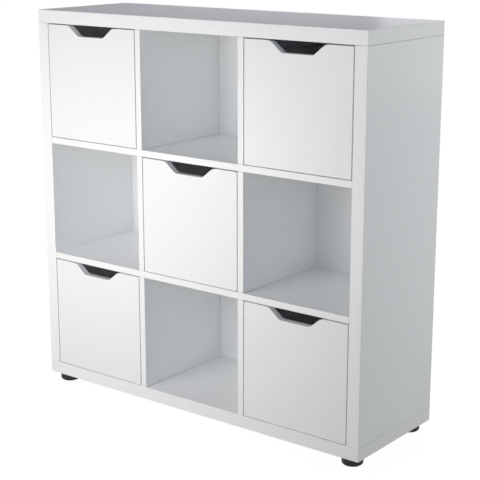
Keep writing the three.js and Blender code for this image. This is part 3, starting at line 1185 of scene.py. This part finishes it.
@dataclass
class Workshop:
    """What every sub-assembly is made with.

    Attributes:
        finishes: The materials.
        shaper: What finishes the boards.
        fasteners: What makes the screws and fittings.
    """

    finishes: Finishes = field(default_factory=Finishes)
    shaper: BoardShaper = field(default_factory=BoardShaper)
    fasteners: FastenerTree = field(default_factory=FastenerTree)


@dataclass
class Carcass:
    """The boards of the unit's body and its back panel.

    Attributes:
        shop: The materials and tools.
        cut_margin: How much larger than a neighbour its cut is taken to be, to find the cut's faces.
    """

    shop: Workshop
    cut_margin: float = 1.5 * MM

    OUTER = ("top_panel", "bottom_panel", "left_side_panel", "right_side_panel")
    SHELVES = ("lower_shelf", "upper_shelf")
    PARTITIONS = tuple(
        f"{row}_{side}_partition" for row in ("bottom", "middle", "top") for side in ("left", "right")
    )

    def build(self) -> None:
        """Builds every board of the carcass."""
        back = Box.of("back_panel").grown(self.cut_margin)
        screw_nodes = [name for name in frame["nodes"] if name.startswith("foot_screw")]
        screws = [Box.of(name).grown(self.cut_margin) for name in screw_nodes]
        for node in self.OUTER:
            self._board(node, [back, *screws])
        for node in (*self.SHELVES, *self.PARTITIONS):
            self._board(node, [])
        self._back_panel()

    def _board(self, node: str, cuts: Sequence[Box]) -> None:
        """Builds one melamine board of the carcass, its grooves showing the core."""
        shaper = self.shop.shaper
        mesh = shaper.from_cad(node)
        shaper.ease_arrises(mesh, Box.of(node))
        materials = [self.shop.finishes.carcass, self.shop.finishes.core]
        piece = shaper.finish(f"{node}_board", mesh, cuts, materials, core_in_cuts)
        hand_over(piece, CARCASS, [node])

    def _back_panel(self) -> None:
        """Builds the back panel: lacquered towards the cells, raw behind and on its edges."""
        shaper = self.shop.shaper
        mesh = shaper.from_cad("back_panel")
        materials = [self.shop.finishes.white_hardboard, self.shop.finishes.raw_hardboard]
        piece = shaper.finish("back_panel_sheet", mesh, [], materials, faced((0.0, -1.0, 0.0)))
        hand_over(piece, CARCASS, ["back_panel"])


@dataclass
class FootSet:
    """The four turned feet and the screws that hold them.

    Attributes:
        shop: The materials and tools.
        rounding: The radius of each foot's lower rim.
        draft: How much narrower the wall is at the rim than at the top.
        top_ease: The radius of the top's outer edge.
        well_radius: The radius of the well in the sole.
        hole_radius: The radius of the screw's hole.
        well_lip: The size of the chamfer round the well's mouth.
        well_room: From the screw's face up to the well's ceiling.
        arc_steps: How many steps each rounded corner has.
        turn_steps: How many steps the turn has.
    """

    shop: Workshop
    rounding: float = 7.0 * MM
    draft: float = 0.35 * MM
    top_ease: float = 0.5 * MM
    well_radius: float = 6.5 * MM
    hole_radius: float = 2.5 * MM
    well_lip: float = 0.5 * MM
    well_room: float = 3.0 * MM
    arc_steps: int = 14
    turn_steps: int = 96

    CORNERS = ("front_left", "front_right", "rear_left", "rear_right")
    SCREW = Fastener(
        head_radius=3.6 * MM,
        under_radius=4.4 * MM,
        head_height=2.6 * MM,
        slot_length=4.4 * MM,
        slot_width=0.9 * MM,
        slot_depth=1.5 * MM,
        shank_radius=2.2 * MM,
    )

    def build(self) -> None:
        """Builds the feet and their screws."""
        for corner in self.CORNERS:
            self._foot(f"foot_{corner}")
        self._screws()

    def profile(self, radius: float, height: float, well_top: float) -> list[tuple[float, float]]:
        """The foot's section.

        Args:
            radius: The foot's radius.
            height: Its height.
            well_top: The height of the well's ceiling.

        Returns:
            The section's points as radius and height.
        """
        corners = [
            (self.well_radius + self.well_lip, 0.0, 0.0),
            (radius - self.draft, 0.0, self.rounding),
            (radius, height, self.top_ease),
            (self.hole_radius, height, 0.0),
            (self.hole_radius, well_top, 0.0),
            (self.well_radius, well_top, 0.0),
            (self.well_radius, self.well_lip, 0.0),
        ]
        return rounded_outline(corners, self.arc_steps)

    def _foot(self, node: str) -> None:
        """Builds one foot where its CAD node is."""
        box = Box.of(node)
        screw = Box.of(node.replace("foot_", "foot_screw_"))
        well_top = screw.low.z + self.well_room
        mesh = turned(self.profile(box.size.x / 2, box.high.z, well_top), self.turn_steps)
        bmesh.ops.translate(mesh, vec=(box.centre.x, box.centre.y, 0.0), verts=mesh.verts)
        data = to_mesh(mesh, f"{node}_turned")
        data.materials.append(self.shop.finishes.foot_plastic)
        hand_over(new_moulding(data.name, data), CARCASS, [node])

    def _screws(self) -> None:
        """Sets a pan-headed screw in each foot's well, as long as its CAD node."""
        nodes = [f"foot_screw_{corner}" for corner in self.CORNERS]
        boxes = [Box.of(node) for node in nodes]
        places = [(Vector((box.centre.x, box.centre.y, box.low.z)), Vector((0, 0, -1))) for box in boxes]
        shank = boxes[0].size.z - self.SCREW.head_height - self.SCREW.point_length
        screw = replace(self.SCREW, shank_length=shank)
        piece = self.shop.fasteners.make("foot_screws", places, screw, self.shop.finishes.zinc)
        hand_over(piece, CARCASS, nodes)


@dataclass
class RunnerSet:
    """The strips that the drawers ride on, and their screws.

    Attributes:
        shop: The materials and tools.
        end_rounding: The radius of the strip's ends, seen from the side.
        screw_inset: From each end to the nearest screw.
        screw_count: How many screws hold a strip.
        edge_ease: The size of the ease round the strip's free face.
        ease_steps: How many steps the ease has.
        arc_steps: How many steps each rounded corner has.
        drill_start: How far over the free face the drilling starts.
        sink_spare: How much longer than the screw's head the countersinking is.
        head_play: How much wider than the head the countersink is.
        shank_play: How much wider than the shank the hole is.
        drill_spare: How much longer than the strip's thickness the drilling is.
    """

    shop: Workshop
    end_rounding: float = 5.0 * MM
    screw_inset: float = 22.0 * MM
    screw_count: int = 3
    edge_ease: float = 0.8 * MM
    ease_steps: int = 2
    arc_steps: int = 8
    drill_start: float = 0.1 * MM
    sink_spare: float = 0.15 * MM
    head_play: float = 0.2 * MM
    shank_play: float = 0.1 * MM
    drill_spare: float = 1.0 * MM

    SCREW = Fastener(
        head_radius=3.4 * MM,
        under_radius=1.7 * MM,
        head_height=2.0 * MM,
        slot_length=3.6 * MM,
        slot_width=0.8 * MM,
        slot_depth=1.2 * MM,
        shank_radius=1.6 * MM,
        shank_length=12.0 * MM,
    )

    def build(self, drawers: Iterable[str]) -> None:
        """Builds each drawer's two strips, and all their screws as one piece."""
        places = []
        for drawer in drawers:
            for side, facing in (("left", 1.0), ("right", -1.0)):
                places += self._strip(f"{drawer}_{side}_runner", Vector((facing, 0.0, 0.0)))
        piece = self.shop.fasteners.make("runner_screws", places, self.SCREW, self.shop.finishes.zinc)
        hand_over(piece, CARCASS)

    def _screw_places(self, box: Box, free_x: float) -> list[Vector]:
        """The middle of each screw's face, on the strip's free face."""
        first, last = box.low.y + self.screw_inset, box.high.y - self.screw_inset
        step = (last - first) / (self.screw_count - 1)
        return [Vector((free_x, first + step * number, box.centre.z)) for number in range(self.screw_count)]

    def _drill(
        self, mesh: bmesh.types.BMesh, screws: Iterable[Vector], facing: Vector
    ) -> bmesh.types.BMesh:
        """Drills a strip for its screws.

        Known fault: each screw's two cutters overlap, and the solver then leaves every countersink uncut.
        On left strips it also leaves two of the three holes uncut, and in some runs a strip comes out open.

        Args:
            mesh: The strip. It is freed.
            screws: The middle of each screw's face.
            facing: The way the strip's free face looks.

        Returns:
            The strip as a working mesh.
        """
        ends = [vertex.co.x for vertex in mesh.verts]
        thickness = max(ends) - min(ends)
        cutters = bmesh.new()
        at_face = self.SCREW.head_radius + self.head_play
        at_shank = self.SCREW.under_radius + self.shank_play
        for place in screws:
            start = place + facing * self.drill_start
            add_cone(cutters, start, -facing, (at_face, at_shank), self.SCREW.head_height + self.sink_spare)
            add_cone(cutters, start, -facing, (at_shank, at_shank), thickness + self.drill_spare)
        return carve(mesh, cutters)

    def _strip(self, node: str, facing: Vector) -> list[tuple[Vector, Vector]]:
        """Builds one strip.

        Args:
            node: The CAD node that it stands for.
            facing: The way its free face looks.

        Returns:
            The places of its screws, and the way each faces.
        """
        box = Box.of(node)
        y, z = (box.low.y, box.high.y), (box.low.z, box.high.z)
        sharp = ((y[0], z[0]), (y[1], z[0]), (y[1], z[1]), (y[0], z[1]))
        outline = rounded_outline([(*corner, self.end_rounding) for corner in sharp], self.arc_steps)
        mesh = prism([(box.low.x, *point) for point in outline], (box.size.x, 0.0, 0.0))
        free_x = box.high.x if facing.x > 0 else box.low.x
        free_edges = [
            edge
            for edge in mesh.edges
            if all(abs(vertex.co.x - free_x) < self.shop.shaper.weld for vertex in edge.verts)
        ]
        bmesh.ops.bevel(
            mesh,
            geom=free_edges,
            offset=self.edge_ease,
            segments=self.ease_steps,
            profile=ROUND_PROFILE,
            affect="EDGES",
        )
        screws = self._screw_places(box, free_x)
        data = to_mesh(self._drill(mesh, screws, facing), f"{node}_strip")
        data.materials.append(self.shop.finishes.runner_plastic)
        hand_over(new_moulding(data.name, data), CARCASS, [node])
        return [(place, facing) for place in screws]


@dataclass
class Drawer:
    """One drawer: a notched front on a box with grooved sides, a back and a thin base.

    Attributes:
        shop: The materials and tools.
        name: The drawer's name, which its nodes and its body start with.
        notch_top: The notch's width at the top, between the corners that its rounding cuts off.
        notch_bottom: The same at its floor.
        notch_depth: From the front's upper edge down to the notch's floor.
        notch_top_rounding: The radius of the two upper corners.
        notch_bottom_rounding: The radius of the two lower corners.
        arc_steps: How many steps each rounded corner has.
        cut_margin: How much larger than a neighbour its cut is taken to be, to find the cut's faces.
        groove_play: From the base's edges to the walls of its groove in the front.
        cam_inset: From the side's front end to the middle of the cam fittings.
        cam_heights: The cam fittings' heights, as shares of the side's height.
        cam_play: How much wider than its fitting a pocket is.
        cam_sunk: How far below the side's face a fitting lies.
        drill_start: How far over the side's face the drilling of a pocket starts.
        pocket_spare: How much deeper than its fitting a pocket is.
    """

    shop: Workshop
    name: str
    notch_top: float = 137.0 * MM
    notch_bottom: float = 78.0 * MM
    notch_depth: float = 24.0 * MM
    notch_top_rounding: float = 24.0 * MM
    notch_bottom_rounding: float = 15.0 * MM
    arc_steps: int = 14
    cut_margin: float = 1.5 * MM
    groove_play: float = 0.3 * MM
    cam_inset: float = 24.0 * MM
    cam_heights: tuple[float, ...] = (0.18, 0.82)
    cam_play: float = 0.2 * MM
    cam_sunk: float = 0.2 * MM
    drill_start: float = 1.0 * MM
    pocket_spare: float = 0.5 * MM

    CAM = Fastener(
        head_radius=7.3 * MM,
        under_radius=7.3 * MM,
        head_height=8.5 * MM,
        slot_length=9.0 * MM,
        slot_width=1.3 * MM,
        slot_depth=2.0 * MM,
    )

    @property
    def body(self) -> str:
        """The body that the whole drawer rides on."""
        return f"{self.name}_drawer"

    def node(self, part: str) -> str:
        """The full name of one of the drawer's CAD nodes."""
        return f"{self.name}_drawer_{part}"

    def build(self) -> None:
        """Builds the drawer's boards and fittings."""
        self._front()
        cams = []
        for side, facing in (("left", -1.0), ("right", 1.0)):
            cams += self._side(side, Vector((facing, 0.0, 0.0)))
        zinc = self.shop.finishes.zinc
        piece = self.shop.fasteners.make(f"{self.name}_drawer_cams", cams, self.CAM, zinc)
        hand_over(piece, self.body)
        self._back()
        self._base()

    def front_outline(self, box: Box) -> list[tuple[float, float]]:
        """The front's outline, seen from the front, as X and Z."""
        middle, floor, top = box.centre.x, box.high.z - self.notch_depth, box.high.z
        upper, lower = self.notch_top / 2, self.notch_bottom / 2
        corners = [
            (box.low.x, box.low.z, 0.0),
            (box.high.x, box.low.z, 0.0),
            (box.high.x, top, 0.0),
            (middle + upper, top, self.notch_top_rounding),
            (middle + lower, floor, self.notch_bottom_rounding),
            (middle - lower, floor, self.notch_bottom_rounding),
            (middle - upper, top, self.notch_top_rounding),
            (box.low.x, top, 0.0),
        ]
        return rounded_outline(corners, self.arc_steps)

    def _front(self) -> None:
        """Builds the front, its rim banded all the way round the notch."""
        shaper = self.shop.shaper
        node = self.node("front")
        box = Box.of(node)
        rim = [(x, box.low.y, z) for x, z in self.front_outline(box)]
        mesh = prism(rim, (0.0, box.size.y, 0.0))
        shaper.ease_arrises(mesh, box, shaped_rim=True)
        base = Box.of(self.node("base"))
        cutters = bmesh.new()
        add_box(cutters, base.grown(self.groove_play))
        mesh = carve(mesh, cutters)
        cuts = [base.grown(self.cut_margin)]
        materials = [self.shop.finishes.drawer_front, self.shop.finishes.core]
        piece = shaper.finish(f"{node}_board", mesh, cuts, materials, core_in_cuts)
        hand_over(piece, self.body, [node])

    def _side(self, side: str, facing: Vector) -> list[tuple[Vector, Vector]]:
        """Builds one side board with pockets for its cam fittings.

        Args:
            side: Which side it is, left or right.
            facing: The way its outer face looks.

        Returns:
            The places of its cam fittings, and the way each faces.
        """
        shaper = self.shop.shaper
        node = self.node(f"{side}_side")
        box = Box.of(node)
        outer_x = box.high.x if facing.x > 0 else box.low.x
        y = box.low.y + self.cam_inset
        places = [Vector((outer_x, y, box.low.z + share * box.size.z)) for share in self.cam_heights]
        mesh = shaper.from_cad(node)
        shaper.ease_arrises(mesh, box)
        cutters = bmesh.new()
        radius = self.CAM.head_radius + self.cam_play
        reach_in = self.drill_start + self.CAM.head_height + self.pocket_spare
        for place in places:
            add_cone(cutters, place + facing * self.drill_start, -facing, (radius, radius), reach_in)
        mesh = carve(mesh, cutters)
        reach = Vector((1.0, 1.0, 1.0)) * radius
        pockets = [Box(place - reach, place + reach).grown(self.cut_margin) for place in places]
        runner = Box.of(f"{self.name}_{side}_runner").grown(self.cut_margin)
        base = Box.of(self.node("base")).grown(self.cut_margin)
        to_rear = Box(runner.low, Vector((runner.high.x, box.high.y + self.cut_margin, runner.high.z)))
        piece = self._dress(node, mesh, [to_rear, base, *pockets])
        hand_over(piece, self.body, [node])
        return [(place - facing * self.cam_sunk, facing) for place in places]

    def _dress(self, node: str, mesh: bmesh.types.BMesh, cuts: Sequence[Box]) -> bpy.types.Object:
        """Finishes a board of the drawer's box, its cuts showing the core."""
        materials = [self.shop.finishes.drawer_box, self.shop.finishes.core]
        return self.shop.shaper.finish(f"{node}_board", mesh, cuts, materials, core_in_cuts)

    def _back(self) -> None:
        """Builds the back board."""
        node = self.node("back")
        mesh = self.shop.shaper.from_cad(node)
        self.shop.shaper.ease_arrises(mesh, Box.of(node))
        piece = self._dress(node, mesh, [Box.of(self.node("base")).grown(self.cut_margin)])
        hand_over(piece, self.body, [node])

    def _base(self) -> None:
        """Builds the base: lacquered hardboard above, raw below and on its edges."""
        shaper = self.shop.shaper
        node = self.node("base")
        mesh = shaper.from_cad(node)
        materials = [self.shop.finishes.white_hardboard, self.shop.finishes.raw_hardboard]
        piece = shaper.finish(f"{node}_sheet", mesh, [], materials, faced((0.0, 0.0, 1.0)))
        hand_over(piece, self.body, [node])


# ---------------------------------------------------------------- the studio


@dataclass(frozen=True)
class Softbox:
    """A soft area light.

    Attributes:
        name: The light's name.
        place: Where it stands.
        aim: The point that it looks at.
        size: Its width and height.
        power: Its power in watts.
        colour: Its colour.
    """

    name: str
    place: Point
    aim: Point
    size: tuple[float, float]
    power: float
    colour: Colour = (1.0, 1.0, 1.0)

    def build(self) -> bpy.types.Object:
        """Hangs the light in the scene, and returns it."""
        lamp = bpy.data.lights.new(self.name, "AREA")
        lamp.shape = "RECTANGLE"
        lamp.size, lamp.size_y = self.size
        lamp.energy = self.power
        lamp.color = self.colour
        light = bpy.data.objects.new(self.name, lamp)
        light.location = self.place
        light.rotation_euler = (Vector(self.aim) - Vector(self.place)).to_track_quat("-Z", "Y").to_euler()
        light.visible_camera = False
        bpy.context.scene.collection.objects.link(light)
        return light


@dataclass
class Studio:
    """The camera, the pale floor, the surroundings and the soft lights.

    Attributes:
        eye: Where the camera stands.
        turn: How far round to the right of the front it stands, in degrees.
        tilt: How far down it looks, in degrees.
        lens: Its focal length in millimetres on a 36 mm frame.
        view_limit: How far it sees.
        gamma: How much the picture's middle tones are lifted; 1 is not at all.
        floor_size: The side of the square floor.
        floor_shade: The floor's own colour.
        floor_glow: How brightly the floor near the unit shows to the camera, besides what falls on it.
        floor_fade: The distances from the unit's middle between which that rises to plain white.
        floor_bounce: The same for the light that it gives the unit.
        floor_tint: The colour of that light.
        sky_way: The direction that the surroundings are brightest in.
        sky_focus: How quickly they darken away from it.
        sky_power: Their brightness there.
        sky_tint: Their colour.
        lights: The soft lights.
    """

    eye: Point = (1.7867, -2.2660, 1.1386)
    turn: float = 37.825
    tilt: float = 14.292
    lens: float = 95.86
    view_limit: float = 200.0
    gamma: float = 1.2
    floor_size: float = 80.0
    floor_shade: Colour = (0.10, 0.10, 0.10)
    floor_glow: float = 0.955
    floor_fade: tuple[float, float] = (0.55, 1.3)
    floor_bounce: float = 0.25
    floor_tint: Colour = (1.0, 0.988, 0.856)
    sky_way: Point = (0.692, -0.692, 0.208)
    sky_focus: float = 6.0
    sky_power: float = 1.0
    sky_tint: Colour = (0.742, 0.809, 1.0)
    lights: tuple[Softbox, ...] = (
        Softbox("key", (-0.2, -1.2, 0.9), (-0.08, 0.0, 0.5), (0.4, 0.4), 3.5, (0.972, 1.0, 0.988)),
        Softbox("left_kicker", (-0.45, -0.8, 0.6), (-0.18, 0.0, 0.5), (0.4, 0.4), 1.3, (1.0, 0.9, 0.966)),
        Softbox("low_key", (-0.1, -1.1, 0.45), (-0.03, 0.0, 0.458), (0.7, 0.7), 2.0, (1.0, 0.93, 0.93)),
        Softbox("low_left_fill", (-0.6, -1.1, 0.2), (-0.2, 0.0, 0.2), (0.7, 0.7), 3.7, (0.94, 1.0, 0.91)),
        Softbox("overhead", (0.0, 0.6, 2.3), (0.0, 0.0, 0.9), (1.0, 1.0), 16.2, (0.952, 0.943, 1.0)),
        Softbox("rear_right_fill", (1.2, 1.4, 1.0), (0.3, 0.0, 0.5), (0.9, 0.9), 2.0, (0.93, 1.0, 0.88)),
        Softbox("right_fill", (1.5, 0.6, 0.75), (0.4, 0.0, 0.5), (0.7, 0.7), 5.0, (0.96, 0.97, 1.0)),
        Softbox("left_side_fill", (-2.0, 0.5, 0.8), (-0.4, 0.0, 0.5), (0.9, 0.9), 8.0, (0.97, 0.98, 1.0)),
        Softbox("back_fill", (-0.3, 2.2, 0.6), (0.0, 0.1, 0.45), (1.2, 1.2), 9.0, (0.98, 0.98, 1.0)),
    )

    def build(self) -> None:
        """Sets up the whole studio."""
        self._camera()
        self._floor()
        self._surroundings()
        for light in self.lights:
            light.build()
        settings = bpy.context.scene.view_settings
        settings.view_transform = "Standard"
        settings.look = "None"
        settings.gamma = self.gamma

    def _camera(self) -> None:
        """Places the camera and makes it the scene's own."""
        data = bpy.data.cameras.new("camera")
        data.lens = self.lens
        data.clip_end = self.view_limit
        camera = bpy.data.objects.new("camera", data)
        camera.location = self.eye
        camera.rotation_euler = (math.radians(90.0 - self.tilt), 0.0, math.radians(self.turn))
        bpy.context.scene.collection.objects.link(camera)
        bpy.context.scene.camera = camera

    def _floor(self) -> None:
        """Lays the plain pale floor, which glows so that the picture's ground stays near white."""
        mesh = bmesh.new()
        bmesh.ops.create_grid(mesh, x_segments=1, y_segments=1, size=self.floor_size / 2)
        floor = new_piece("floor", to_mesh(mesh, "floor"))
        material = bpy.data.materials.new("studio_floor")
        material.use_nodes = True
        material.node_tree.nodes.clear()
        sketch = Sketch(material.node_tree)
        matt = sketch.add("ShaderNodeBsdfDiffuse", {"Color": (*self.floor_shade, 1.0)})
        seen = sketch.add("ShaderNodeLightPath").outputs["Is Camera Ray"]
        place = sketch.add("ShaderNodeTexCoord").outputs["Object"]
        away = sketch.add("ShaderNodeVectorMath", {0: place}, operation="LENGTH").outputs["Value"]
        shown = sketch.ramp(away, *self.floor_fade, self.floor_glow, 1.0)
        strength = sketch.ramp(seen, 0.0, 1.0, self.floor_bounce, shown)
        tint = sketch.blend(seen, self.floor_tint, (1.0, 1.0, 1.0))
        glow = sketch.add("ShaderNodeEmission", {"Color": tint, "Strength": strength})
        both = sketch.add("ShaderNodeAddShader", {0: matt.outputs[0], 1: glow.outputs[0]})
        sketch.add("ShaderNodeOutputMaterial", {"Surface": both.outputs[0]})
        floor.data.materials.append(material)

    def _surroundings(self) -> None:
        """Lights the unit from the brighter side, and shows the camera plain white beyond the floor."""
        world = bpy.data.worlds.new("surroundings")
        world.use_nodes = True
        world.node_tree.nodes.clear()
        bpy.context.scene.world = world
        sketch = Sketch(world.node_tree)
        way = sketch.add("ShaderNodeTexCoord").outputs["Generated"]
        facing = sketch.add("ShaderNodeVectorMath", {0: way, 1: self.sky_way}, operation="DOT_PRODUCT")
        lobe = sketch.math("POWER", sketch.math("MAXIMUM", facing.outputs["Value"], 0.0), self.sky_focus)
        strength = sketch.math("MULTIPLY", lobe, self.sky_power)
        seen = sketch.add("ShaderNodeLightPath").outputs["Is Camera Ray"]
        light = sketch.add("ShaderNodeBackground", {"Color": (*self.sky_tint, 1.0), "Strength": strength})
        white = sketch.add("ShaderNodeBackground", {"Color": (1.0, 1.0, 1.0, 1.0), "Strength": 1.0})
        shown = sketch.add("ShaderNodeMixShader", {0: seen, 1: light.outputs[0], 2: white.outputs[0]})
        sketch.add("ShaderNodeOutputWorld", {"Surface": shown.outputs[0]})


# ---------------------------------------------------------------- the whole


DRAWERS = tuple(name.removesuffix("_drawer") for name in frame["bodies"] if name != CARCASS)


def main() -> None:
    """Builds the studio and the unit's sub-assemblies in order."""
    logging.basicConfig(level=logging.INFO, format="%(name)s: %(message)s")
    Studio().build()
    shop = Workshop()
    Carcass(shop).build()
    FootSet(shop).build()
    RunnerSet(shop).build(DRAWERS)
    for name in DRAWERS:
        Drawer(shop, name).build()


if __name__ == "__main__":
    main()
